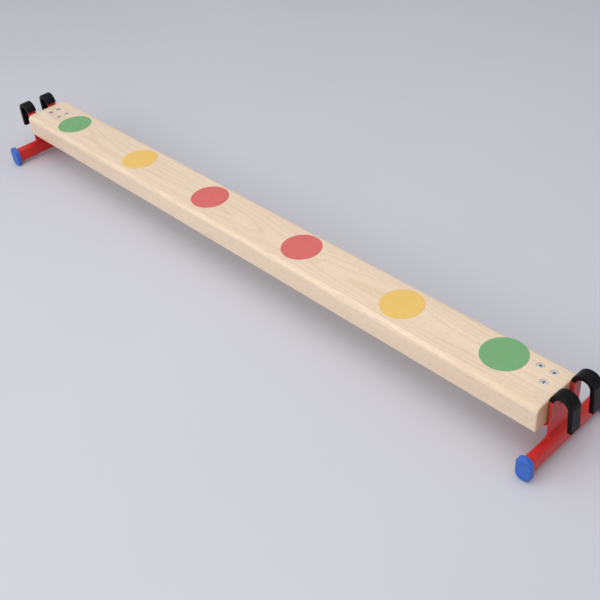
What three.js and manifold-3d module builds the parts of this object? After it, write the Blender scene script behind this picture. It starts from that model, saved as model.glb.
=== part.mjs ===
// A low balance beam for children: a solid wood plank with six coloured step spots,
// screwed down onto a steel bracket at each end. Each bracket is a flat-oval foot tube
// that lies across the beam and carries a plate with two hooks in soft black sleeves.
// The two brackets are the same part turned end for end, so their hooks are offset to
// opposite sides and the hooks of two beams fit side by side on one rung.
//
// Millimetres. Origin on the floor under the middle of the beam, +X along the beam,
// +Y to its back and +Z up.

import * as THREE from 'three';
import { mergeVertices } from 'three/addons/utils/BufferGeometryUtils.js';
import Module from 'manifold-3d';

const wasm = await Module();
wasm.setup();

// ---------------------------------------------------------------- driving dimensions

const GAP = 0.3;                 // clearance between pieces that touch

const PLANK_LENGTH = 1500;
const PLANK_WIDTH = 110;
const PLANK_THICKNESS = 50;
const PLANK_TOP = 115;           // height of the walking surface
const TOP_EDGE_RADIUS = 12;      // rounded long edges that feet and hands meet
const BOTTOM_EDGE_RADIUS = 3;

const SPOT_DIAMETER = 80;
const SPOT_THICKNESS = 0.3;
const SPOTS = [                  // place along and across the plank, and colour
  { name: 'green_left', x: -614, y: -2, color: 'green' },
  { name: 'yellow_left', x: -348, y: 1, color: 'yellow' },
  { name: 'red_left', x: -100, y: 3, color: 'red' },
  { name: 'red_right', x: 176, y: 4, color: 'red' },
  { name: 'yellow_right', x: 432, y: 1, color: 'yellow' },
  { name: 'green_right', x: 638, y: 13, color: 'green' },
];

const BRACKET_OFFSET = 10;       // bracket centre from the beam's centre line
const FOOT_LENGTH = 210;         // over the end caps
const TUBE_WIDTH = 20;
const TUBE_HEIGHT = 35;
const TUBE_WALL = 2;
const TUBE_AXIS = 9;             // tube centre beyond the plank's end

const CAP_WIDTH = 29;
const CAP_HEIGHT = 48;
const CAP_DEPTH = 10;
const CAP_EDGE_RADIUS = 3;
const CAP_FLAT = 1;              // slice off the bottom, so that the foot sits still
const CAP_SEAT = 3;              // how far the tube enters the cap
const PLUG_LENGTH = 18;          // spigot of the cap inside the tube
const PLUG_WALL = 2.5;

const BAR_WIDTH = 20;            // hook plate: two tongues of one plate, bent into hooks
const BAR_THICKNESS = 5;
const BAR_STANDOFF = 3;          // space between the plank's end and the hook plate
const ROOT_DROP = 18;            // roots of the tongues below the walking surface
const BEND_RADIUS = 14.2;        // inside the bend
const BEND_RISE = 2;             // centre of the bend above the walking surface
const LEG_LENGTH = 42;           // straight free leg after the bend
const LEG_SPLAY = 4 * Math.PI / 180;   // how far the leg leans out from upright
const HOOK_SPACING = 57;         // between the centres of a bracket's two hooks

const SLEEVE_WALL = 1.7;
const SLEEVE_START = Math.PI - 0.1;    // angle round the bend where the sleeve begins

const PLATE_LENGTH = 88;         // mounting plate under the plank, along the beam
const PLATE_WIDTH = 80;
const PLATE_THICKNESS = 5;
const PLATE_CORNER = 6;
const WEB_THICKNESS = 5;         // upright web that holds the plate off the foot tube
const WEB_REACH = 60;            // how far it runs inwards under the plate
const WEB_NOSE = 6;              // blunt height of its thin end
const WEB_PLACE = 5;             // from the bracket's middle, clear of the nuts

const SCREW_DIAMETER = 6;
const HEAD_DIAMETER = 13;
const HEAD_SINK = 0.3;           // head face below the walking surface
const RECESS_WIDTH = 1.3;        // cross recess in the head
const RECESS_SPAN = 6.4;
const RECESS_DEPTH = 2.2;
const WASHER_DIAMETER = 12;
const WASHER_THICKNESS = 1.6;
const NUT_ACROSS_FLATS = 10;
const NUT_HEIGHT = 5;
const THREAD_PROUD = 2;          // thread past the nut
const SCREWS = [                 // bracket, place in from the plank's end and across
  { name: 'left_1', end: -1, inset: 33, y: -6 },
  { name: 'left_2', end: -1, inset: 33, y: 15 },
  { name: 'left_3', end: -1, inset: 70, y: -6 },
  { name: 'left_4', end: -1, inset: 70, y: 15 },
  { name: 'right_1', end: 1, inset: 29, y: 2 },
  { name: 'right_2', end: 1, inset: 29, y: 29 },
  { name: 'right_3', end: 1, inset: 54, y: 29 },
];

// ------------------------------------------------------------------- worked-out places

const PLANK_BOTTOM = PLANK_TOP - PLANK_THICKNESS;
const PLANK_END = PLANK_LENGTH / 2;
const PLATE_TOP = PLANK_BOTTOM - GAP;
const PLATE_BOTTOM = PLATE_TOP - PLATE_THICKNESS;
const TUBE_Z = CAP_HEIGHT / 2 - CAP_FLAT;
const TUBE_TOP = TUBE_Z + TUBE_HEIGHT / 2;
const BEND_X = BAR_STANDOFF + BAR_THICKNESS + BEND_RADIUS;
const BEND_Z = PLANK_TOP + BEND_RISE;
const ROOT_Z = PLANK_TOP - ROOT_DROP;
const HEAD_TOP = PLANK_TOP - HEAD_SINK;
const WASHER_TOP = PLATE_BOTTOM - GAP;
const NUT_TOP = WASHER_TOP - WASHER_THICKNESS - GAP;
const SCREW_TIP = NUT_TOP - NUT_HEIGHT - THREAD_PROUD;

// --------------------------------------------------------------------------- materials

function material(color, roughness, metalness = 0) {
  return new THREE.MeshStandardMaterial({ color, roughness, metalness });
}

const WOOD = material(0xdcc3a1, 0.55);
const RED_COATING = material(0xc5303a, 0.35);
const BLACK_SLEEVE = material(0x201e22, 0.55);
const BLUE_PLASTIC = material(0x3f70c9, 0.45);
const ZINC = material(0xb8bbbf, 0.3, 1);
const SPOT_COLORS = {
  green: material(0x76a873, 0.5),
  yellow: material(0xe9c16b, 0.5),
  red: material(0xd46b69, 0.5),
};

// ------------------------------------------------------------------------ solid algebra

function toSolid(geometry) {
  const bare = geometry.clone();
  bare.deleteAttribute('normal');
  bare.deleteAttribute('uv');
  const merged = mergeVertices(bare, 1e-4);
  return new wasm.Manifold(new wasm.Mesh({
    numProp: 3,
    vertProperties: merged.attributes.position.array,
    triVerts: new Uint32Array(merged.index.array),
  }));
}

function toGeometry(solid) {
  const mesh = solid.getMesh();
  const geometry = new THREE.BufferGeometry();
  geometry.setAttribute('position', new THREE.BufferAttribute(mesh.vertProperties, 3));
  geometry.setIndex(new THREE.BufferAttribute(mesh.triVerts, 1));
  geometry.computeVertexNormals();
  return geometry;
}

function cut(geometry, tools) {
  const solid = tools.reduce((rest, tool) => rest.subtract(toSolid(tool)), toSolid(geometry));
  return toGeometry(solid);
}

function join(first, second) {
  return toGeometry(toSolid(first).add(toSolid(second)));
}

// --------------------------------------------------------------------- shape and sweeps

// A shape drawn in the YZ plane, pushed along +X from x.
function alongX(shape, x, depth, curveSegments = 4) {
  const geometry = new THREE.ExtrudeGeometry(shape, { depth, bevelEnabled: false, curveSegments });
  const axes = new THREE.Matrix4().makeBasis(
    new THREE.Vector3(0, 1, 0), new THREE.Vector3(0, 0, 1), new THREE.Vector3(1, 0, 0));
  return geometry.applyMatrix4(axes).translate(x, 0, 0);
}

// A shape drawn in the XZ plane, pushed along Y and centred on y.
function alongY(shape, y, depth, options = {}) {
  const geometry = new THREE.ExtrudeGeometry(shape, { depth, bevelEnabled: false, ...options });
  const axes = new THREE.Matrix4().makeBasis(
    new THREE.Vector3(1, 0, 0), new THREE.Vector3(0, 0, 1), new THREE.Vector3(0, -1, 0));
  return geometry.applyMatrix4(axes).translate(0, y + depth / 2, 0);
}

function turnedUp(profile, segments = 16) {
  return new THREE.LatheGeometry(profile, segments).rotateX(Math.PI / 2);
}

// An upright flat oval: two straight flanks and a half circle above and below.
function ovalShape(width, height) {
  const radius = width / 2;
  const rise = height / 2 - radius;
  const shape = new THREE.Shape();
  shape.moveTo(radius, -rise);
  shape.lineTo(radius, rise);
  shape.absarc(0, rise, radius, 0, Math.PI, false);
  shape.lineTo(-radius, -rise);
  shape.absarc(0, -rise, radius, Math.PI, 2 * Math.PI, false);
  return shape;
}

function roundedRectangle(x0, y0, x1, y1, radius) {
  const shape = new THREE.Shape();
  shape.moveTo(x0 + radius, y0);
  shape.lineTo(x1 - radius, y0);
  shape.absarc(x1 - radius, y0 + radius, radius, -Math.PI / 2, 0, false);
  shape.lineTo(x1, y1 - radius);
  shape.absarc(x1 - radius, y1 - radius, radius, 0, Math.PI / 2, false);
  shape.lineTo(x0 + radius, y1);
  shape.absarc(x0 + radius, y1 - radius, radius, Math.PI / 2, Math.PI, false);
  shape.lineTo(x0, y0 + radius);
  shape.absarc(x0 + radius, y0 + radius, radius, Math.PI, 1.5 * Math.PI, false);
  return shape;
}

// ------------------------------------------------------------------------------- plank

function plankSection() {
  const half = PLANK_WIDTH / 2;
  const top = TOP_EDGE_RADIUS;
  const low = BOTTOM_EDGE_RADIUS;
  const shape = new THREE.Shape();
  shape.moveTo(-half + low, PLANK_BOTTOM);
  shape.lineTo(half - low, PLANK_BOTTOM);
  shape.absarc(half - low, PLANK_BOTTOM + low, low, -Math.PI / 2, 0, false);
  shape.lineTo(half, PLANK_TOP - top);
  shape.absarc(half - top, PLANK_TOP - top, top, 0, Math.PI / 2, false);
  shape.lineTo(-half + top, PLANK_TOP);
  shape.absarc(-half + top, PLANK_TOP - top, top, Math.PI / 2, Math.PI, false);
  shape.lineTo(-half, PLANK_BOTTOM + low);
  shape.absarc(-half + low, PLANK_BOTTOM + low, low, Math.PI, 1.5 * Math.PI, false);
  return shape;
}

// The outline of a countersunk screw, grown all round by `grow` and run up to `top`.
function screwProfile(grow, top, tip) {
  const head = HEAD_DIAMETER / 2 + grow;
  const shank = SCREW_DIAMETER / 2 + grow;
  const rim = HEAD_TOP - 0.8;
  return [
    new THREE.Vector2(0, tip),
    new THREE.Vector2(shank, tip),
    new THREE.Vector2(shank, rim - (head - shank)),
    new THREE.Vector2(head, rim),
    new THREE.Vector2(head, top),
    new THREE.Vector2(0, top),
  ];
}

function screwPlace(screw) {
  return new THREE.Vector3(screw.end * (PLANK_END - screw.inset), screw.y, 0);
}

function plankGeometry() {
  const hole = turnedUp(screwProfile(GAP, PLANK_TOP + 1, PLANK_BOTTOM - 1));
  const holes = SCREWS.map((screw) => hole.clone().translate(...screwPlace(screw)));
  return cut(alongX(plankSection(), -PLANK_END, PLANK_LENGTH), holes);
}

function spotGeometry() {
  const radius = SPOT_DIAMETER / 2;
  const profile = [
    new THREE.Vector2(0, PLANK_TOP),
    new THREE.Vector2(radius, PLANK_TOP),
    new THREE.Vector2(radius, PLANK_TOP + SPOT_THICKNESS),
    new THREE.Vector2(0, PLANK_TOP + SPOT_THICKNESS),
  ];
  return turnedUp(profile, 40);
}

// --------------------------------------------------------------------------- fasteners

function screwGeometry() {
  const body = turnedUp(screwProfile(0, HEAD_TOP, SCREW_TIP));
  const slots = [[RECESS_SPAN, RECESS_WIDTH], [RECESS_WIDTH, RECESS_SPAN]].map(([x, y]) =>
    new THREE.BoxGeometry(x, y, 2 * RECESS_DEPTH).translate(0, 0, HEAD_TOP));
  return cut(body, slots);
}

function ringShape(outline) {
  const bore = new THREE.Path();
  bore.absarc(0, 0, SCREW_DIAMETER / 2 + GAP, 0, 2 * Math.PI, true);
  outline.holes.push(bore);
  return outline;
}

function washerGeometry() {
  const disc = new THREE.Shape();
  disc.absarc(0, 0, WASHER_DIAMETER / 2, 0, 2 * Math.PI, false);
  return new THREE.ExtrudeGeometry(ringShape(disc),
    { depth: WASHER_THICKNESS, bevelEnabled: false, curveSegments: 8 })
    .translate(0, 0, WASHER_TOP - WASHER_THICKNESS);
}

function nutGeometry() {
  const corner = NUT_ACROSS_FLATS / Math.sqrt(3);
  const corners = [...Array(6).keys()].map((i) =>
    new THREE.Vector2(corner * Math.cos(i * Math.PI / 3), corner * Math.sin(i * Math.PI / 3)));
  return new THREE.ExtrudeGeometry(ringShape(new THREE.Shape(corners)),
    { depth: NUT_HEIGHT, bevelEnabled: false, curveSegments: 8 })
    .translate(0, 0, NUT_TOP - NUT_HEIGHT);
}

// ---------------------------------------------------------------------------- brackets
// A bracket is drawn for the right-hand end, with x = 0 on the plank's end face,
// +x away from the plank, y = 0 at the bracket's own middle and z = 0 on the floor.

function tubeGeometry() {
  const section = ovalShape(TUBE_WIDTH, TUBE_HEIGHT);
  section.holes.push(ovalShape(TUBE_WIDTH - 2 * TUBE_WALL, TUBE_HEIGHT - 2 * TUBE_WALL));
  const length = FOOT_LENGTH - 2 * (CAP_DEPTH - CAP_SEAT + GAP);
  return alongY(section, 0, length, { curveSegments: 7 }).translate(TUBE_AXIS, 0, TUBE_Z);
}

// The space that the tube takes up, for coping what is welded to it.
function tubeRoom() {
  const section = ovalShape(TUBE_WIDTH + 2 * GAP, TUBE_HEIGHT + 2 * GAP);
  return alongY(section, 0, FOOT_LENGTH, { curveSegments: 7 }).translate(TUBE_AXIS, 0, TUBE_Z);
}

// The end cap for the +y end of the tube: an oval button with a seat and a spigot.
function capGeometry() {
  const edge = CAP_EDGE_RADIUS;
  const middle = (FOOT_LENGTH - CAP_DEPTH) / 2;
  const button = alongY(ovalShape(CAP_WIDTH, CAP_HEIGHT), middle, CAP_DEPTH - 2 * edge, {
    curveSegments: 7, bevelEnabled: true, bevelSegments: 2,
    bevelThickness: edge, bevelSize: edge, bevelOffset: -edge,
  });
  const inner = FOOT_LENGTH / 2 - CAP_DEPTH;
  const seat = alongY(ovalShape(TUBE_WIDTH + 2 * GAP, TUBE_HEIGHT + 2 * GAP),
    inner, 2 * CAP_SEAT, { curveSegments: 7 });
  const sole = new THREE.BoxGeometry(CAP_WIDTH, 2 * CAP_DEPTH, CAP_HEIGHT)
    .translate(0, middle, CAP_FLAT - CAP_HEIGHT);
  const spigotSize = [TUBE_WIDTH, TUBE_HEIGHT].map((size) => size - 2 * (TUBE_WALL + GAP));
  const spigotShape = ovalShape(...spigotSize);
  spigotShape.holes.push(ovalShape(...spigotSize.map((size) => size - 2 * PLUG_WALL)));
  const spigot = alongY(spigotShape, inner - PLUG_LENGTH / 2 + CAP_SEAT, PLUG_LENGTH + 0.1,
    { curveSegments: 7 });
  return join(cut(button, [seat, sole]), spigot).translate(TUBE_AXIS, 0, TUBE_Z);
}

// The side view of a hook, grown all round by `grow`, from `foot` up to `start` round
// the bend and down the free leg.
function hookShape(grow, start, foot) {
  const outer = BEND_RADIUS + BAR_THICKNESS + grow;
  const inner = BEND_RADIUS - grow;
  const legEnd = (radius) => [
    BEND_X + radius * Math.cos(LEG_SPLAY) + (LEG_LENGTH + grow) * Math.sin(LEG_SPLAY),
    BEND_Z + radius * Math.sin(LEG_SPLAY) - (LEG_LENGTH + grow) * Math.cos(LEG_SPLAY),
  ];
  const shape = new THREE.Shape();
  if (foot !== undefined) shape.moveTo(BEND_X - outer, foot);
  shape.absarc(BEND_X, BEND_Z, outer, start, LEG_SPLAY, true);
  shape.lineTo(...legEnd(outer));
  shape.lineTo(...legEnd(inner));
  shape.absarc(BEND_X, BEND_Z, inner, LEG_SPLAY, start, false);
  if (foot !== undefined) shape.lineTo(BEND_X - inner, foot);
  return shape;
}

// One plate that stands on the tube, its two tongues bent over into the hooks.
function hookPlateGeometry() {
  const foot = TUBE_TOP - 3;
  const half = (HOOK_SPACING + BAR_WIDTH) / 2;
  const sheet = new THREE.BoxGeometry(BAR_THICKNESS, 2 * half, ROOT_Z - foot)
    .translate(BAR_STANDOFF + BAR_THICKNESS / 2, 0, (ROOT_Z + foot) / 2);
  const tongues = [-1, 1].map((side) => alongY(hookShape(0, Math.PI, foot),
    side * HOOK_SPACING / 2, BAR_WIDTH, { curveSegments: 8 }));
  return cut(tongues.reduce(join, sheet), [tubeRoom()]);
}

function sleeveGeometry(y) {
  const skin = alongY(hookShape(SLEEVE_WALL, SLEEVE_START), y, BAR_WIDTH + 2 * SLEEVE_WALL,
    { curveSegments: 8 });
  const bore = alongY(hookShape(GAP, Math.PI, TUBE_TOP), y, BAR_WIDTH + 2 * GAP,
    { curveSegments: 8 });
  return cut(skin, [bore]);
}

// The plate's screw holes are those of its own end, seen in the bracket's own frame.
function plateGeometry(end) {
  const half = PLATE_WIDTH / 2;
  const shape = roundedRectangle(BAR_STANDOFF - GAP - PLATE_LENGTH, -half,
    BAR_STANDOFF - GAP, half, PLATE_CORNER);
  for (const screw of SCREWS.filter((each) => each.end === end)) {
    const hole = new THREE.Path();
    hole.absarc(-screw.inset, end * screw.y - BRACKET_OFFSET,
      SCREW_DIAMETER / 2 + GAP, 0, 2 * Math.PI, true);
    shape.holes.push(hole);
  }
  return new THREE.ExtrudeGeometry(shape,
    { depth: PLATE_THICKNESS, bevelEnabled: false, curveSegments: 5 })
    .translate(0, 0, PLATE_BOTTOM);
}

function webGeometry() {
  const top = PLATE_BOTTOM - GAP;
  const outerEnd = BAR_STANDOFF - GAP;
  const shape = new THREE.Shape();
  shape.moveTo(outerEnd, top);
  shape.lineTo(-WEB_REACH, top);
  shape.lineTo(-WEB_REACH, top - WEB_NOSE);
  shape.lineTo(-WEB_NOSE, TUBE_Z);
  shape.lineTo(outerEnd, TUBE_Z);
  return cut(alongY(shape, WEB_PLACE, WEB_THICKNESS), [tubeRoom()]);
}

// ---------------------------------------------------------------------------- assembly

function named(name, geometry, finish) {
  const mesh = new THREE.Mesh(geometry, finish);
  mesh.name = name;
  return mesh;
}

function bracket(end) {
  const group = new THREE.Group();
  const word = end > 0 ? 'right' : 'left';
  group.add(named(`${word}_foot_tube`, tubeGeometry(), RED_COATING));
  group.add(named(`${word}_hook_plate`, hookPlateGeometry(), RED_COATING));
  group.add(named(`${word}_mounting_plate`, plateGeometry(end), RED_COATING));
  group.add(named(`${word}_web`, webGeometry(), RED_COATING));
  for (const side of [-1, 1]) {
    const place = end * side < 0 ? 'front' : 'back';
    const y = side * HOOK_SPACING / 2;
    const cap = named(`${word}_end_cap_${place}`, capGeometry(), BLUE_PLASTIC);
    if (side < 0) {
      cap.position.x = 2 * TUBE_AXIS;
      cap.rotation.z = Math.PI;
    }
    group.add(cap);
    group.add(named(`${word}_hook_sleeve_${place}`, sleeveGeometry(y), BLACK_SLEEVE));
  }
  group.position.set(end * PLANK_END, end * BRACKET_OFFSET, 0);
  group.rotation.z = end > 0 ? 0 : Math.PI;
  return group;
}

function screwSet(screw) {
  const group = new THREE.Group();
  group.add(named(`screw_${screw.name}`, screwGeometry(), ZINC));
  group.add(named(`washer_${screw.name}`, washerGeometry(), ZINC));
  group.add(named(`nut_${screw.name}`, nutGeometry(), ZINC));
  group.position.copy(screwPlace(screw));
  return group;
}

function stepSpot(spot) {
  const mesh = named(`spot_${spot.name}`, spotGeometry(), SPOT_COLORS[spot.color]);
  mesh.position.set(spot.x, spot.y, 0);
  return mesh;
}

const beam = new THREE.Group();
beam.add(named('plank', plankGeometry(), WOOD));
beam.add(...SPOTS.map(stepSpot));
beam.add(...SCREWS.map(screwSet));
beam.add(bracket(-1), bracket(1));

export default beam;
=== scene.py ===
"""The looks of a low balance beam: a hardwood plank with coloured step spots, on two
powder-coated steel brackets with blue end caps and hooks in black sleeves.

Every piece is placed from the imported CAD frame. Metres, +X along the beam, +Z up.
"""

import math
import random

import bmesh
import bpy
from mathutils import Matrix, Vector


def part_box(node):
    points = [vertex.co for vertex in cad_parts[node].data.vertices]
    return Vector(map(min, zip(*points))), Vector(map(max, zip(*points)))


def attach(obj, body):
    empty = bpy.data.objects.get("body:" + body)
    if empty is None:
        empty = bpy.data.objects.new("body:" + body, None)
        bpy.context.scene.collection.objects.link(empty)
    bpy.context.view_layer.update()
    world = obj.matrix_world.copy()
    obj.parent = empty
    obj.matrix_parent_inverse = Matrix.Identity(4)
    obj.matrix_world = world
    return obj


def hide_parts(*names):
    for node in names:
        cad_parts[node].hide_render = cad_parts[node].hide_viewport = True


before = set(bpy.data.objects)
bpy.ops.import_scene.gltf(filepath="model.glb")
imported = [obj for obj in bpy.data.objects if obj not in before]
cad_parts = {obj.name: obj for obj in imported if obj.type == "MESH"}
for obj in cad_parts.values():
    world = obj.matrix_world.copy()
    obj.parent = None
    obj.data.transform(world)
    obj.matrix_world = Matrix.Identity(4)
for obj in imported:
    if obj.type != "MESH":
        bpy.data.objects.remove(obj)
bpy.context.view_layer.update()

MM = 0.001

# ------------------------------------------------------------------ driving dimensions

GAP = 0.3 * MM                    # clearance between pieces that touch

TOP_EDGE_RADIUS = 11 * MM         # plank
BOTTOM_EDGE_RADIUS = 5 * MM
END_EASE = 4 * MM

PLANK_MARGIN = 20 * MM            # how far the tool for a hole runs past the plank
PLATE_MARGIN = 5 * MM             # and past the mounting plate
BEVEL_ANGLE = math.radians(30)    # edges sharper than this are bevelled,
SHARP_ANGLE = math.radians(35)    # and those sharper than this are shaded as edges

SPOT_EDGE = 0.12 * MM             # step spots

HEAD_RIM = 0.8 * MM               # screws: the straight rim above the head's cone
HEAD_EDGE = 0.25 * MM
SHANK_RADIUS = 3 * MM
THREAD_PITCH = 1 * MM
THREAD_DEPTH = 0.55 * MM
THREAD_POINT = 0.55               # radius of the screw's tip, as a share of the shank's
RECESS_WIDTH = 1.7 * MM
RECESS_SPAN = 7.4 * MM
RECESS_DEPTH = 3.2 * MM
# from above the face down: shares of the recess's depth, span and width
RECESS_TAPER = ((-1.0, 1.14, 1.08), (0.0, 1.0, 1.0), (0.75, 0.78, 0.85), (1.0, 0.3, 0.6))
FIRST_TURN, NEXT_TURN = 0.7, 1.1  # how each screw's cross is turned, in radians
WASHER_EDGE = 0.3 * MM
NUT_CHAMFER = 0.97                # radius of the nut's end face, as a share of its flats

BAR_THICKNESS = 5 * MM            # hook plate and its two tongues
BAR_EDGE_RADIUS = 0.8 * MM
ROOT_DROP = 18 * MM               # roots of the tongues below the walking surface
BEND_RADIUS = 14.2 * MM
LEG_SPLAY = math.radians(4)       # how far the hook's free leg leans out from upright
LEG_LENGTH = 42 * MM
SLEEVE_WALL = 1.7 * MM
SLEEVE_EDGE_RADIUS = 1.3 * MM
SLEEVE_START = math.pi - 0.1      # angle round the bend where the sleeve begins

TUBE_WALL = 2 * MM
CAP_DEPTH = 10 * MM
CAP_EDGE_RADIUS = 3 * MM
CAP_SEAT = 3 * MM                 # how far the tube enters the cap
# from the middle of the face out: depth and inset, in millimetres
CAP_DISH = ((0.75, 9.5), (0.75, 6.0), (0.62, 5.2), (0.14, 4.5), (0.0, 3.8))
CAP_BACK_EDGE = 1.2 * MM
CAP_BACK_EASE = 0.35 * MM
PLUG_WALL = 2.5 * MM

PLATE_CORNER = 14 * MM            # mounting plate
PLATE_EDGE = 0.5 * MM
WEB_NOSE = 6 * MM                 # blunt height of the web's thin end
WEB_TOE = 4.7 * MM                # how far the web's foot reaches in from the tube
WEB_EDGE = 0.4 * MM
BEAD_RADIUS = 1.7 * MM            # weld beads
BEAD_RIPPLE = 2.6 * MM            # from one ripple of a bead to the next
RIPPLE_HEIGHT = 0.10              # as a share of the bead's radius, and so is
RIPPLE_CHANCE = 0.05              # the random part on top of it
BEAD_STEP = 0.9 * MM              # from one ring of a bead to the next
BEAD_STANDOFF = 0.4 * MM          # from the hook plate to the middle line of its bead
BEAD_CORNER = 1.4 * MM
WEB_BEAD_INSET = 4 * MM           # from the web's end to the bead's end
WEB_BEAD_RADIUS = BEAD_RADIUS * 0.8

RING_SPACING = 4.3                # of the wood's growth rings, in millimetres
PITH_ACROSS = -14.0               # where their centre runs, across and up, in millimetres
PITH_HEIGHT = 52.0

FLOOR_REACH = 60.0                # half the floor's side, in metres
FLOOR_DROP = 0.05 * MM            # keeps the floor clear of the caps' flats

WORLD_COLOR = (0.93, 0.95, 1.0, 1)
WORLD_STRENGTH = 0.55
AREA_LIGHTS = (                   # name, place, aim, size, watts and colour
    ("overhead", (0.2, -0.2, 2.6), (0.1, 0, 0), (3.0, 2.4), 31, (1.0, 0.985, 0.97)),
    ("long_window", (-0.9, -2.3, 1.7), (0.2, 0, 0.05), (3.2, 1.0), 22.5, (1.0, 0.99, 0.98)),
    ("near_fill", (1.2, -2.6, 1.2), (0.5, 0, 0.05), (1.6, 1.2), 15, (1, 1, 1)),
)

CAMERA_PLACE = (1.266, -0.903, 1.131)
CAMERA_AZIMUTH = 50.81            # degrees, turned from looking along +Y
CAMERA_ELEVATION = 38.88
CAMERA_ROLL = -6.50
CAMERA_LENS = 55.3                # millimetres, on a sensor of the standard 36

WORDS = {"left": -1, "right": 1}
PLACES = {"front": -1, "back": 1}
SCREWS = ["left_1", "left_2", "left_3", "left_4", "right_1", "right_2", "right_3"]
SPOTS = ["green_left", "yellow_left", "red_left", "red_right", "yellow_right", "green_right"]


# ----------------------------------------------------------------------- shader writing

class Graph:
    """A material's node tree, written as nested calls. Lengths inside are millimetres."""

    def __init__(self, name, **settings):
        self.material = bpy.data.materials.new(name)
        self.material.use_nodes = True
        self.tree = self.material.node_tree
        self.shader = self.tree.nodes["Principled BSDF"]
        for socket, value in settings.items():
            self.shader.inputs[socket.replace("_", " ")].default_value = value
        coordinates = self.tree.nodes.new("ShaderNodeTexCoord")
        self.normal = coordinates.outputs["Normal"]
        self.place = self.stretch(coordinates.outputs["Object"], (1 / MM,) * 3)

    def node(self, kind, inputs=(), **settings):
        node = self.tree.nodes.new(kind)
        for key, value in settings.items():
            setattr(node, key, value)
        for key, value in dict(inputs).items():
            if isinstance(value, bpy.types.NodeSocket):
                self.tree.links.new(value, node.inputs[key])
            else:
                node.inputs[key].default_value = value
        return node

    def stretch(self, vector, scale):
        inputs = {"Vector": vector, "Scale": scale}
        return self.node("ShaderNodeMapping", inputs).outputs["Vector"]

    def noise(self, scale, detail=3.0, rough=0.5, distortion=0.0):
        """Noise whose cells are 1 / scale millimetres long along each axis."""
        inputs = {"Vector": self.stretch(self.place, scale), "Scale": 1.0,
                  "Detail": detail, "Roughness": rough, "Distortion": distortion}
        return self.node("ShaderNodeTexNoise", inputs).outputs["Fac"]

    def math(self, operation, first, second=0.5):
        inputs = {0: first, 1: second}
        return self.node("ShaderNodeMath", inputs, operation=operation).outputs[0]

    def rescale(self, value, low, high, to_low=0.0, to_high=1.0):
        inputs = {"Value": value, "From Min": low, "From Max": high,
                  "To Min": to_low, "To Max": to_high}
        return self.node("ShaderNodeMapRange", inputs, clamp=True).outputs["Result"]

    def mix(self, factor, first, second):
        node = self.node("ShaderNodeMix", data_type="RGBA")
        for index, value in ((0, factor), (6, first), (7, second)):
            if isinstance(value, bpy.types.NodeSocket):
                self.tree.links.new(value, node.inputs[index])
            else:
                node.inputs[index].default_value = value
        return node.outputs[2]

    def axes(self, vector):
        return self.node("ShaderNodeSeparateXYZ", {"Vector": vector}).outputs

    def bump(self, height, distance, strength):
        inputs = {"Height": height, "Distance": distance * MM, "Strength": strength}
        return self.node("ShaderNodeBump", inputs).outputs["Normal"]

    def send(self, **outputs):
        for socket, value in outputs.items():
            self.tree.links.new(value, self.shader.inputs[socket.replace("_", " ")])
        return self.material


def rgb(red, green, blue):
    """A linear colour from the 0 to 255 values that a screen shows."""
    def linear(value):
        share = value / 255
        return share / 12.92 if share <= 0.04045 else ((share + 0.055) / 1.055) ** 2.4
    return (linear(red), linear(green), linear(blue), 1.0)


# --------------------------------------------------------------------------- materials

def wood_grain(graph):
    """Growth rings round a pith below the plank, fibres along X and short dark flecks."""
    _, y, z = graph.axes(graph.place)
    wander = graph.noise((0.0035, 0.012, 0.012), detail=2)
    drift = graph.noise((0.0016, 0.006, 0.006), detail=1, distortion=0.4)
    from_pith = (graph.math("ADD", y, -PITH_ACROSS), graph.math("ADD", z, -PITH_HEIGHT))
    across = graph.math("ADD", from_pith[0], graph.rescale(wander, 0, 1, -26, 26))
    up = graph.math("ADD", from_pith[1], graph.rescale(drift, 0, 1, -24, 24))
    squares = graph.math(
        "ADD", graph.math("MULTIPLY", across, across), graph.math("MULTIPLY", up, up))
    turns = graph.math("MULTIPLY", graph.math("SQRT", squares), 1 / RING_SPACING)
    rings = graph.math("FRACT", turns)
    late = graph.rescale(graph.math("PINGPONG", rings, 0.5), 0.0, 0.22, 1.0, 0.0)
    fibre = graph.noise((0.010, 1.1, 1.1), detail=5, rough=0.65)
    fleck = graph.rescale(graph.noise((0.10, 1.5, 1.5), detail=1), 0.62, 0.72)
    tone = graph.noise((0.0022, 0.022, 0.022), detail=3)
    return late, fibre, fleck, tone


def wood():
    graph = Graph("light_hardwood", Specular_IOR_Level=0.45,
                  Coat_Weight=0.38, Coat_Roughness=0.16)
    late, fibre, fleck, tone = wood_grain(graph)
    base = graph.mix(graph.rescale(tone, 0.3, 0.7), rgb(225, 201, 173), rgb(236, 213, 185))
    ringed = graph.mix(graph.math("MULTIPLY", late, 0.40), base, rgb(206, 170, 134))
    fibred = graph.mix(graph.rescale(fibre, 0.35, 0.72, 0.0, 0.55), ringed, rgb(244, 222, 194))
    flecked = graph.mix(graph.math("MULTIPLY", fleck, 0.42), fibred, rgb(176, 134, 98))
    end = graph.rescale(graph.math("ABSOLUTE", graph.axes(graph.normal)[0]), 0.55, 0.92)
    pores = graph.noise((0.3, 1.9, 1.9), detail=4, rough=0.7)
    on_end = graph.math("MULTIPLY", late, 0.45)
    ring_lines = graph.mix(on_end, rgb(218, 178, 140), rgb(186, 138, 100))
    porous = graph.rescale(pores, 0.4, 0.7, 0.0, 0.45)
    end_grain = graph.mix(porous, ring_lines, rgb(178, 130, 94))
    height = graph.math(
        "ADD", graph.math("MULTIPLY", fibre, 0.7), graph.math("MULTIPLY", late, -0.25))
    return graph.send(
        Base_Color=graph.mix(end, flecked, end_grain),
        Roughness=graph.rescale(fibre, 0.3, 0.7, 0.50, 0.38),
        Normal=graph.bump(height, 0.10, 0.45),
    )


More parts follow.
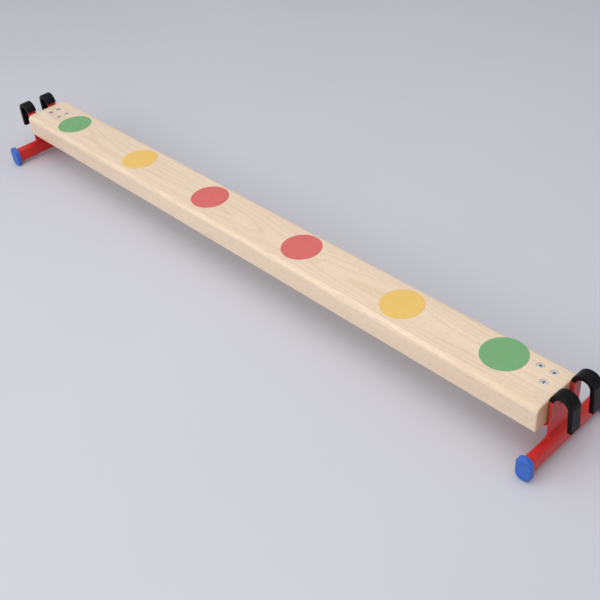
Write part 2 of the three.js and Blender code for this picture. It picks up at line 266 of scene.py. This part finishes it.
def spot_film(name, color, deeper):
    """Thin satin film that the grain below shows through faintly."""
    graph = Graph(name, Specular_IOR_Level=0.35)
    fibre = graph.noise((0.012, 0.9, 0.9), detail=4, rough=0.6)
    mottle = graph.noise((0.09, 0.09, 0.09), detail=4, rough=0.6)
    grain = graph.mix(graph.rescale(fibre, 0.35, 0.7, 0.0, 0.35), color, deeper)
    return graph.send(
        Base_Color=graph.mix(graph.rescale(mottle, 0.35, 0.65, 0.0, 0.25), grain, deeper),
        Roughness=graph.rescale(mottle, 0.3, 0.7, 0.46, 0.58),
        Normal=graph.bump(fibre, 0.05, 0.35),
    )


def red_coating():
    graph = Graph("red_powder_coat", Specular_IOR_Level=0.32,
                  Coat_Weight=0.12, Coat_Roughness=0.2)
    peel = graph.noise((0.75, 0.75, 0.75), detail=2, rough=0.45)
    cloud = graph.noise((0.03, 0.03, 0.03), detail=3)
    return graph.send(
        Base_Color=graph.mix(graph.rescale(cloud, 0.3, 0.7), rgb(198, 34, 33), rgb(209, 46, 41)),
        Roughness=graph.rescale(cloud, 0.3, 0.7, 0.30, 0.38),
        Normal=graph.bump(peel, 0.06, 0.5),
    )


def black_sleeve():
    graph = Graph("black_sleeve", Specular_IOR_Level=0.15)
    skin = graph.noise((1.6, 1.6, 1.6), detail=3, rough=0.6)
    scuff = graph.noise((0.11, 0.11, 0.11), detail=5, rough=0.65)
    return graph.send(
        Base_Color=graph.mix(graph.rescale(scuff, 0.45, 0.75), rgb(7, 6, 8), rgb(17, 15, 18)),
        Roughness=graph.rescale(scuff, 0.3, 0.7, 0.36, 0.52),
        Normal=graph.bump(skin, 0.04, 0.5),
    )


def blue_plastic():
    graph = Graph("blue_moulding", Specular_IOR_Level=0.4)
    grain = graph.noise((1.2, 1.2, 1.2), detail=3, rough=0.6)
    flow = graph.noise((0.05, 0.05, 0.12), detail=3, distortion=0.6)
    return graph.send(
        Base_Color=graph.mix(graph.rescale(flow, 0.35, 0.65), rgb(46, 96, 186), rgb(56, 106, 196)),
        Roughness=graph.rescale(grain, 0.3, 0.7, 0.36, 0.48),
        Normal=graph.bump(grain, 0.05, 0.45),
    )


def zinc_steel():
    """Plated steel, with painted shade where the cross recess goes down into the screw heads."""
    graph = Graph("zinc_plate", Metallic=0.85)
    patina = graph.noise((0.35, 0.35, 0.35), detail=4, rough=0.6)
    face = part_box("screw_left_1")[1].z / MM
    height = graph.axes(graph.place)[2]
    below = graph.rescale(height, face - 1.5, face - 0.5, 1.0, 0.0)
    # painted shade: below the head's face the cross recess is darkened towards rgb(40, 42, 46)
    painted_recess_shade = graph.math("MULTIPLY", below, graph.rescale(height, face - 6, face - 5, 0.0, 0.92))
    plated = graph.mix(graph.rescale(patina, 0.35, 0.7), rgb(240, 242, 244), rgb(220, 222, 226))
    return graph.send(
        Base_Color=graph.mix(painted_recess_shade, plated, rgb(40, 42, 46)),
        Roughness=graph.rescale(patina, 0.3, 0.7, 0.32, 0.46),
        Normal=graph.bump(patina, 0.02, 0.4),
    )


def pale_floor():
    graph = Graph("pale_floor", Roughness=0.85, Specular_IOR_Level=0.2)
    cloud = graph.noise((0.002, 0.002, 0.002), detail=3)
    return graph.send(Base_Color=graph.mix(cloud, rgb(200, 200, 207), rgb(206, 206, 212)))


# ------------------------------------------------------------------------ mesh building

def new_object(name, vertices, faces):
    mesh = bpy.data.meshes.new(name)
    mesh.from_pydata([tuple(v) for v in vertices], [], faces)
    work = bmesh.new()
    work.from_mesh(mesh)
    bmesh.ops.recalc_face_normals(work, faces=work.faces)
    work.to_mesh(mesh)
    work.free()
    body = bpy.data.objects.new(name, mesh)
    bpy.context.scene.collection.objects.link(body)
    return body


def loft(name, rings, closed=False):
    """Joins rings of equally many points. Closed joins the last ring to the first;
    otherwise the first and last rings are filled."""
    count = len(rings[0])
    vertices = [point for ring in rings for point in ring]
    spans = len(rings) if closed else len(rings) - 1
    faces = []
    for r in range(spans):
        here, there = r * count, (r + 1) % len(rings) * count
        for i in range(count):
            j = (i + 1) % count
            faces.append((here + i, here + j, there + j, there + i))
    if not closed:
        faces.append(tuple(range(count)))
        faces.append(tuple(range(len(vertices) - count, len(vertices))))
    return new_object(name, vertices, faces)


def arc(center, radius, start, end, steps):
    return [(center[0] + radius * math.cos(start + (end - start) * i / steps),
             center[1] + radius * math.sin(start + (end - start) * i / steps))
            for i in range(steps + 1)]


def rounded_box(low, high, radii, steps):
    """An outline with round corners, from the low-low corner round by high-low."""
    quarter = math.pi / 2
    corners = ((low[0], low[1], 1, 1), (high[0], low[1], -1, 1),
               (high[0], high[1], -1, -1), (low[0], high[1], 1, -1))
    points = []
    for i, ((x, y, right, up), radius) in enumerate(zip(corners, radii)):
        start = math.pi + i * quarter
        center = (x + right * radius, y + up * radius)
        points += arc(center, radius, start, start + quarter, steps)
    return points


def oval(width, height, steps=20):
    radius = width / 2
    rise = height / 2 - radius
    upper = arc((0, rise), radius, 0, math.pi, steps)
    return upper + arc((0, -rise), radius, math.pi, 2 * math.pi, steps)


def circle(radius, steps):
    return [(radius * math.cos(2 * math.pi * i / steps), radius * math.sin(2 * math.pi * i / steps))
            for i in range(steps)]


def polar(center, radius, angle, z):
    """A point at the height z, round an upright axis through the center."""
    return (center.x + radius * math.cos(angle), center.y + radius * math.sin(angle), z)


def turned(name, center, profile, steps=48, closed=False):
    """A turned piece about an upright axis: profile is a list of (radius, height)."""
    rings = [[(center[0] + x, center[1] + y, z) for x, y in circle(r, steps)] for r, z in profile]
    return loft(name, rings, closed)


def cut(body, tool):
    """Cuts the tool out of the body for good, and removes the tool."""
    modifier = body.modifiers.new("cut", "BOOLEAN")
    modifier.operation = "DIFFERENCE"
    modifier.solver = "EXACT"
    modifier.object = tool
    bpy.context.view_layer.update()
    evaluated = body.evaluated_get(bpy.context.evaluated_depsgraph_get())
    mesh = bpy.data.meshes.new_from_object(evaluated)
    body.modifiers.clear()
    body.data = mesh
    bpy.data.objects.remove(tool)
    return body


def bevel(body, width, segments=2):
    modifier = body.modifiers.new("bevel", "BEVEL")
    modifier.width = width
    modifier.segments = segments
    modifier.limit_method = "ANGLE"
    modifier.angle_limit = BEVEL_ANGLE


def finished(body, material, nodes=()):
    """Gives a piece its material and smooth shading, hangs it on the root body and hides the CAD
    parts it stands for.
    """
    body.data.materials.clear()
    body.data.materials.append(material)
    body.data.shade_smooth()
    body.data.set_sharp_from_angle(angle=SHARP_ANGLE)
    normals = body.modifiers.new("normals", "WEIGHTED_NORMAL")
    normals.keep_sharp = True
    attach(body, "root")
    if nodes:
        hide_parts(*nodes)
    return body


def middle(node):
    low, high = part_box(node)
    return (low + high) / 2


# ------------------------------------------------------------------- plank and fasteners

def plank_ring(x, inset):
    low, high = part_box("plank")
    outline = rounded_box(
        (low.y + inset, low.z + inset), (high.y - inset, high.z - inset),
        [max(radius - inset, 0.1 * MM) for radius in
         (BOTTOM_EDGE_RADIUS, BOTTOM_EDGE_RADIUS, TOP_EDGE_RADIUS, TOP_EDGE_RADIUS)], 10)
    return [(x, y, z) for y, z in outline]


def plank():
    low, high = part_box("plank")
    steps = 5
    rings = []
    for i in range(steps + 1):
        angle = i / steps * math.pi / 2
        run = END_EASE * (1 - math.cos(angle))
        rings.append(plank_ring(low.x + run, END_EASE * (1 - math.sin(angle))))
    rings += [[(low.x + high.x - x, y, z) for x, y, z in ring] for ring in reversed(rings)]
    body = loft("beam_plank", rings)
    return cut(body, joined([hole_cutter(name) for name in SCREWS]))


def joined(bodies):
    """One object out of several, with their meshes side by side."""
    work = bmesh.new()
    for body in bodies:
        work.from_mesh(body.data)
        bpy.data.objects.remove(body)
    mesh = bpy.data.meshes.new("joined")
    work.to_mesh(mesh)
    work.free()
    whole = bpy.data.objects.new("joined", mesh)
    bpy.context.scene.collection.objects.link(whole)
    return whole


def head_profile(name, grow, top, tip):
    """The outline of a countersunk screw, grown by `grow`, from its tip up."""
    low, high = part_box(f"screw_{name}")
    head = (high.x - low.x) / 2 + grow
    shank = SHANK_RADIUS + grow
    rim = high.z - HEAD_RIM
    return [(shank, tip), (shank, rim - (head - shank)), (head, rim), (head, top)]


def hole_cutter(name):
    plank_low, plank_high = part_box("plank")
    profile = head_profile(name, GAP, plank_high.z + PLANK_MARGIN, plank_low.z - PLANK_MARGIN)
    return turned(f"hole_{name}", middle(f"screw_{name}"), profile, 40)


def recess_cutter(name, turn):
    """A tapered cross, wide at the head's face."""
    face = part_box(f"screw_{name}")[1].z
    center = middle(f"screw_{name}")
    rings = []
    for depth, span, width in RECESS_TAPER:
        arm, half = RECESS_SPAN / 2 * span, RECESS_WIDTH / 2 * width
        quarter = [(arm, -half), (arm, half), (half, half)]
        ring = []
        for i in range(4):
            spin = Matrix.Rotation(turn + i * math.pi / 2, 2)
            ring += [spin @ Vector(point) for point in quarter]
        z = face - depth * RECESS_DEPTH
        rings.append([(center.x + p.x, center.y + p.y, z) for p in ring])
    return loft(f"recess_{name}", rings)


def screw(name, turn):
    low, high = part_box(f"screw_{name}")
    center = middle(f"screw_{name}")
    head = (high.x - low.x) / 2
    rim = high.z - HEAD_RIM
    cone = rim - (head - SHANK_RADIUS)
    steps = 24
    rings = []
    rows = round((cone - low.z) / (THREAD_PITCH / 6))
    for row in range(rows + 1):
        z = low.z + (cone - low.z) * row / rows
        taper = min(1.0, THREAD_POINT + (z - low.z) / (2 * THREAD_PITCH))
        ring = []
        for i in range(steps):
            phase = (z / THREAD_PITCH - i / steps) % 1
            radius = taper * (SHANK_RADIUS - THREAD_DEPTH * abs(2 * phase - 1) ** 1.3)
            angle = 2 * math.pi * i / steps
            ring.append(polar(center, radius, angle, z))
        rings.append(ring)
    shank = loft(f"shank_{name}", rings)
    ease = HEAD_EDGE
    profile = [(SHANK_RADIUS, cone - ease), (SHANK_RADIUS, cone), (head - ease, rim - ease),
               (head, rim + ease), (head, high.z - 2 * ease),
               (head - 0.6 * ease, high.z - 0.7 * ease), (head - 2 * ease, high.z)]
    top = cut(turned(f"head_{name}", center, profile, 64), recess_cutter(name, turn))
    body = joined([top, shank])
    body.name = f"countersunk_screw_{name}"
    return body


def washer(name):
    low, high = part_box(f"washer_{name}")
    outer = (high.x - low.x) / 2
    bore = SHANK_RADIUS + GAP
    ease = WASHER_EDGE
    profile = [(bore, low.z), (outer - ease, low.z), (outer, low.z + ease),
               (outer, high.z - ease), (outer - ease, high.z), (bore, high.z)]
    return turned(f"plain_washer_{name}", middle(f"washer_{name}"), profile, 48, closed=True)


def nut(name):
    """A hexagon whose corners are turned off by a 30 degree chamfer above and below."""
    low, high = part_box(f"nut_{name}")
    center = middle(f"nut_{name}")
    flat = (high.y - low.y) / 2
    steps = 72
    slope = math.sqrt(3)
    bore = SHANK_RADIUS - THREAD_DEPTH / 2
    rings = []
    for share in (0, 0.04, 0.08, 0.12, 0.16, 0.5, 0.84, 0.88, 0.92, 0.96, 1):
        z = low.z + (high.z - low.z) * share
        limit = flat * NUT_CHAMFER + slope * min(z - low.z, high.z - z)
        ring = []
        for i in range(steps):
            angle = 2 * math.pi * i / steps
            side = (angle % (math.pi / 3)) - math.pi / 6
            radius = min(flat / math.cos(side), limit)
            ring.append(polar(center, radius, angle, z))
        rings.append(ring)
    for share in (0.92, 0.08):
        z = low.z + (high.z - low.z) * share
        rings.append([(center.x + x, center.y + y, z) for x, y in circle(bore, steps)])
    return loft(f"hex_nut_{name}", rings, closed=True)


def spot(name):
    low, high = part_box(f"spot_{name}")
    radius = (high.x - low.x) / 2
    profile = [(radius, low.z), (radius, high.z - SPOT_EDGE), (radius - SPOT_EDGE, high.z)]
    return turned(f"step_spot_{name}", middle(f"spot_{name}"), profile, 128)


# ----------------------------------------------------------------------------- brackets

class Hook:
    """The run of one hook: up the plank's end, round and down outside it."""

    def __init__(self, word, place):
        plate_low, plate_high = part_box(f"{word}_hook_plate")
        sleeve_low, sleeve_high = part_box(f"{word}_hook_sleeve_{place}")
        self.outward = WORDS[word]
        inner_face = plate_low.x if self.outward > 0 else plate_high.x
        self.y = (sleeve_low.y + sleeve_high.y) / 2
        self.half_width = (sleeve_high.y - sleeve_low.y) / 2 - SLEEVE_WALL
        self.center = (inner_face + self.outward * (BAR_THICKNESS + BEND_RADIUS),
                       plate_high.z - BAR_THICKNESS - BEND_RADIUS)
        self.radius = BEND_RADIUS + BAR_THICKNESS / 2

    def at(self, angle, past=0.0, out=0.0):
        """A point in the XZ plane, `out` from the hook's middle line, at an angle round the
        bend or, at either end of the bend, `past` it along the straight."""
        radius = self.radius + out
        x, z = radius * math.cos(angle), radius * math.sin(angle)
        if angle < math.pi / 2:
            x, z = x + past * math.sin(angle), z - past * math.cos(angle)
        else:
            z -= past
        return (self.center[0] + self.outward * x, self.center[1] + z)

    def ring(self, grow, radius, angle, past=0.0):
        """The hook's section, grown all round by `grow`, with round corners."""
        half = BAR_THICKNESS / 2 + grow
        width = self.half_width + grow
        outline = rounded_box((-half, -width), (half, width), [radius] * 4, 4)
        return [(x, self.y + across, z) for out, across in outline
                for x, z in [self.at(angle, past, out)]]

    def bend(self, grow, radius, start, steps=36):
        """Rings round the bend, from the angle `start` to the leg."""
        return [self.ring(grow, radius, start + (LEG_SPLAY - start) * i / steps)
                for i in range(steps + 1)]


def saddle(word, x):
    """The height of the foot tube's top surface at x."""
    low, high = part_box(f"{word}_foot_tube")
    radius = (high.x - low.x) / 2
    offset = min(abs(x - (low.x + high.x) / 2), radius)
    return high.z - radius + math.sqrt(radius ** 2 - offset ** 2)


def hook_plate(word):
    """One sheet from the foot tube up, with its two outer columns bent over as hooks."""
    hooks = [Hook(word, place) for place in PLACES]
    lines = sorted(hook.y + side * hook.half_width for hook in hooks for side in (-1, 1))
    hook = hooks[0]
    half = BAR_THICKNESS / 2

    def faces_at(angle, past=0):
        return [hook.at(angle, past, out) for out in (-half, half)]

    root = hook.center[1] - (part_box("plank")[1].z - ROOT_DROP)
    at_foot = [(x, saddle(word, x) + GAP) for x, _ in faces_at(math.pi)]
    rows = [at_foot, faces_at(math.pi, root)]
    steps = 40
    for i in range(steps + 1):
        rows.append(faces_at(math.pi + (LEG_SPLAY - math.pi) * i / steps))
    rows.append(faces_at(LEG_SPLAY, LEG_LENGTH))
    cells = {(row, column) for row in range(len(rows) - 1) for column in range(3)
             if row == 0 or column != 1}
    vertices = [(x, y, z) for row in rows for y in lines for x, z in row]

    def corner(row, line, side):
        return (row * len(lines) + line) * 2 + side

    faces = []
    for row, column in sorted(cells):
        around = [(row, column), (row, column + 1), (row + 1, column + 1), (row + 1, column)]
        beyond = [(row - 1, column), (row, column + 1), (row + 1, column), (row, column - 1)]
        for side in (0, 1):
            faces.append([corner(*point, side) for point in around])
        for i, neighbour in enumerate(beyond):
            if neighbour not in cells:
                start, end = around[i], around[(i + 1) % 4]
                faces.append([corner(*start, 0), corner(*end, 0),
                              corner(*end, 1), corner(*start, 1)])
    body = new_object(f"bent_plate_{word}", vertices, faces)
    bevel(body, BAR_EDGE_RADIUS, 3)
    return body


def hook_sleeve(word, place):
    """A closed sheath: the bore up from its end, out over the round lip and back down."""
    hook = Hook(word, place)
    edge = SLEEVE_EDGE_RADIUS
    rings = [hook.ring(GAP, BAR_EDGE_RADIUS, LEG_SPLAY, LEG_LENGTH + GAP)]
    rings += reversed(hook.bend(GAP, BAR_EDGE_RADIUS, SLEEVE_START))
    lip = (SLEEVE_WALL - GAP) / 2
    for i in range(1, 6):
        turn = i / 6 * math.pi
        bulge = lip * math.sin(turn) / hook.radius * 0.6
        grow = GAP + lip * (1 - math.cos(turn))
        rings.append(hook.ring(grow, edge * 0.9, SLEEVE_START + bulge))
    rings += hook.bend(SLEEVE_WALL, edge, SLEEVE_START)
    for i in range(7):
        turn = i / 6 * math.pi / 2
        inset = edge * (1 - math.cos(turn))
        past = LEG_LENGTH + SLEEVE_WALL - edge * (1 - math.sin(turn))
        rings.append(hook.ring(SLEEVE_WALL - inset, max(edge - inset, 0.2 * MM), LEG_SPLAY, past))
    return loft(f"soft_sleeve_{word}_{place}", rings)


def foot_tube(word):
    low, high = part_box(f"{word}_foot_tube")
    center = middle(f"{word}_foot_tube")
    width, height = high.x - low.x, high.z - low.z
    outer = oval(width, height)
    inner = oval(width - 2 * TUBE_WALL, height - 2 * TUBE_WALL)
    rings = [[(center.x + x, y, center.z + z) for x, z in outline]
             for outline, y in ((outer, low.y), (outer, high.y), (inner, high.y), (inner, low.y))]
    return loft(f"oval_foot_tube_{word}", rings, closed=True)


def end_cap(word, place):
    """A moulded cap: a dished face inside a raised rim, a seat for the tube and a spigot."""
    node = f"{word}_end_cap_{place}"
    low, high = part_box(node)
    tube_low, tube_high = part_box(f"{word}_foot_tube")
    axis_z = (tube_low.z + tube_high.z) / 2
    side = PLACES[place]
    face = high.y if side > 0 else low.y
    spigot_end = high.y - low.y
    width, height = high.x - low.x, 2 * (high.z - axis_z)
    tube_width, tube_height = tube_high.x - tube_low.x, tube_high.z - tube_low.z
    plug = TUBE_WALL + GAP
    wall = plug + PLUG_WALL
    edge = CAP_EDGE_RADIUS
    stations = []                     # depth behind the face, width and height of the oval

    def add(depth, inset, size=(width, height)):
        stations.append((depth, size[0] - 2 * inset, size[1] - 2 * inset))

    for depth, inset in CAP_DISH:
        add(depth * MM, inset * MM)
    steps = 7
    for i in range(steps + 1):
        turn = i / steps * math.pi / 2
        add(edge * (1 - math.cos(turn)), edge * (1 - math.sin(turn)))
    add(CAP_DEPTH - CAP_BACK_EDGE, 0)
    add(CAP_DEPTH - CAP_BACK_EASE, CAP_BACK_EASE)
    add(CAP_DEPTH, CAP_BACK_EDGE)
    tube = (tube_width, tube_height)
    add(CAP_DEPTH, -GAP, tube)
    add(CAP_DEPTH - CAP_SEAT, -GAP, tube)
    add(CAP_DEPTH - CAP_SEAT, plug, tube)
    add(spigot_end, plug, tube)
    add(spigot_end, wall, tube)
    add(CAP_DEPTH - CAP_SEAT, wall, tube)
    center = middle(f"{word}_foot_tube")
    rings = [[(center.x + x, face - side * depth, max(axis_z + z, 0.0)) for x, z in oval(w, h)]
             for depth, w, h in stations]
    return loft(f"tube_cap_{word}_{place}", rings)


def mounting_plate(word):
    low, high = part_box(f"{word}_mounting_plate")
    outline = rounded_box((low.x, low.y), (high.x, high.y), [PLATE_CORNER] * 4, 6)
    body = loft(f"plate_under_{word}", [[(x, y, z) for x, y in outline] for z in (low.z, high.z)])
    for name in SCREWS:
        if name.startswith(word):
            bore = SHANK_RADIUS + GAP
            profile = [(bore, low.z - PLATE_MARGIN), (bore, high.z + PLATE_MARGIN)]
            cut(body, turned("bolt_hole", middle(f"screw_{name}"), profile, 32))
    bevel(body, PLATE_EDGE)
    return body


def web(word):
    """The upright web between the plate and the foot tube, coped round the tube."""
    low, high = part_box(f"{word}_web")
    outward = WORDS[word]
    tube_low, tube_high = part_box(f"{word}_foot_tube")
    center = middle(f"{word}_foot_tube")
    radius = (tube_high.x - tube_low.x) / 2 + GAP
    shoulder = tube_high.z - radius + GAP
    inner_x, outer_x = (low.x, high.x) if outward > 0 else (high.x, low.x)
    near_tube = center.x - outward * radius
    meets = math.pi - math.acos(abs(center.x - outer_x) / radius)
    cope = arc((0, shoulder), radius, math.pi, meets, 8)
    cope = [(center.x + outward * x, z) for x, z in cope]
    thin_end = [(inner_x, high.z), (inner_x, high.z - WEB_NOSE)]
    toe = [(near_tube - outward * WEB_TOE, low.z), (near_tube, low.z)]
    outline = thin_end + toe + cope + [(outer_x, high.z)]
    body = loft(f"web_plate_{word}", [[(x, y, z) for x, z in outline] for y in (low.y, high.y)])
    bevel(body, WEB_EDGE)
    return body


# ---------------------------------------------------------------------------- weld beads

def bead(name, path, radius, closed, seed):
    """A rippled weld bead along a path, in rings of a wobbling circle."""
    chance = random.Random(seed)
    count = len(path)
    points = [Vector(p) for p in path]
    travelled = 0.0
    rings = []
    for i, point in enumerate(points):
        ahead = points[(i + 1) % count] if closed or i < count - 1 else point
        behind = points[i - 1] if closed or i else point
        along = (ahead - behind).normalized()
        travelled += (point - behind).length
        side = along.cross(Vector((0, 0, 1)))
        side = side.normalized() if side.length > 0.1 else Vector((0, 1, 0))
        up = side.cross(along).normalized()
        ripple = RIPPLE_HEIGHT * math.sin(2 * math.pi * travelled / BEAD_RIPPLE)
        ripple += chance.uniform(-RIPPLE_CHANCE, RIPPLE_CHANCE)
        end = 1.0 if closed else min(1.0, 0.4 + 0.3 * min(i, count - 1 - i))
        size = radius * end * (1 + ripple)
        rings.append([point + side * size * x + up * size * y for x, y in circle(1.0, 12)])
    return loft(name, rings, closed)


def foot_bead(word):
    """Round the foot of the hook plate, on the foot tube."""
    low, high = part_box(f"{word}_hook_plate")
    outward = WORDS[word]
    inner_face = low.x if outward > 0 else high.x
    near, far = sorted((inner_face, inner_face + outward * BAR_THICKNESS))
    grow = BEAD_STANDOFF
    outline = rounded_box(
        (near - grow, low.y - grow), (far + grow, high.y + grow), [BEAD_CORNER] * 4, 4)
    path = [(x, y, saddle(word, x) + 0.1 * MM) for x, y in resampled(outline, BEAD_STEP)]
    return bead(f"weld_foot_{word}", path, BEAD_RADIUS, True, word)


def resampled(outline, step):
    """A closed outline as points about `step` apart."""
    points = []
    for i, start in enumerate(outline):
        end = outline[(i + 1) % len(outline)]
        length = math.dist(start, end)
        pieces = max(1, round(length / step))
        if length > step / 3:
            points += [(start[0] + (end[0] - start[0]) * k / pieces,
                        start[1] + (end[1] - start[1]) * k / pieces) for k in range(pieces)]
    return points


def straight_bead(name, start, end, seed):
    steps = max(4, round((Vector(end) - Vector(start)).length / BEAD_STEP))
    path = [Vector(start).lerp(Vector(end), i / steps) for i in range(steps + 1)]
    return bead(name, path, WEB_BEAD_RADIUS, False, seed)


def web_beads(word):
    """Fillets along both sides of the web, under the plate."""
    low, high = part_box(f"{word}_web")
    beads = []
    for side, y in (("front", low.y), ("back", high.y)):
        start = (low.x + WEB_BEAD_INSET, y, high.z)
        end = (high.x - WEB_BEAD_INSET, y, high.z)
        beads.append(straight_bead(f"weld_web_{word}_{side}", start, end, f"{word}{side}"))
    return beads


# ------------------------------------------------------------------------ stage and view

def floor(material):
    reach = FLOOR_REACH
    corners = [(-reach, -reach, 0), (reach, -reach, 0), (reach, reach, 0), (-reach, reach, 0)]
    body = new_object("floor", corners, [(0, 1, 2, 3)])
    body.location.z = -FLOOR_DROP
    body.data.materials.append(material)


def area_light(name, place, target, size, power, color):
    light = bpy.data.lights.new(name, "AREA")
    light.shape = "RECTANGLE"
    light.size, light.size_y = size
    light.energy = power
    light.color = color
    body = bpy.data.objects.new(name, light)
    body.location = place
    body.rotation_euler = (Vector(target) - Vector(place)).to_track_quat("-Z", "Y").to_euler()
    bpy.context.scene.collection.objects.link(body)


def lights():
    world = bpy.data.worlds.new("studio")
    world.use_nodes = True
    background = world.node_tree.nodes["Background"]
    background.inputs["Color"].default_value = WORLD_COLOR
    background.inputs["Strength"].default_value = WORLD_STRENGTH
    bpy.context.scene.world = world
    for light in AREA_LIGHTS:
        area_light(*light)


def camera():
    data = bpy.data.cameras.new("camera")
    data.lens = CAMERA_LENS
    data.clip_start = 0.01
    body = bpy.data.objects.new("camera", data)
    turn = (Matrix.Rotation(math.radians(CAMERA_AZIMUTH), 4, "Z")
            @ Matrix.Rotation(math.radians(90 - CAMERA_ELEVATION), 4, "X")
            @ Matrix.Rotation(math.radians(CAMERA_ROLL), 4, "Z"))
    body.matrix_world = Matrix.Translation(CAMERA_PLACE) @ turn
    bpy.context.scene.collection.objects.link(body)
    bpy.context.scene.camera = body


# ------------------------------------------------------------------------------ assembly

def build():
    red, black, blue, zinc = red_coating(), black_sleeve(), blue_plastic(), zinc_steel()
    films = {
        "green": spot_film("green_film", rgb(120, 172, 118), rgb(106, 158, 106)),
        "yellow": spot_film("yellow_film", rgb(236, 196, 108), rgb(224, 182, 94)),
        "red": spot_film("red_film", rgb(216, 108, 103), rgb(202, 94, 91)),
    }
    finished(plank(), wood(), ["plank"])
    for name in SPOTS:
        color = name.split("_")[0]
        finished(spot(name), films[color], [f"spot_{name}"])
    for i, name in enumerate(SCREWS):
        finished(screw(name, FIRST_TURN + NEXT_TURN * i), zinc, [f"screw_{name}"])
        finished(washer(name), zinc, [f"washer_{name}"])
        finished(nut(name), zinc, [f"nut_{name}"])
    for word in WORDS:
        finished(foot_tube(word), red, [f"{word}_foot_tube"])
        finished(hook_plate(word), red, [f"{word}_hook_plate"])
        finished(foot_bead(word), red)
        finished(mounting_plate(word), red, [f"{word}_mounting_plate"])
        finished(web(word), red, [f"{word}_web"])
        for weld in web_beads(word):
            finished(weld, red)
        for place in PLACES:
            finished(end_cap(word, place), blue, [f"{word}_end_cap_{place}"])
            finished(hook_sleeve(word, place), black,
                     [f"{word}_hook_sleeve_{place}"])


bpy.context.scene.view_settings.view_transform = "Standard"
camera()
lights()
floor(pale_floor())
build()
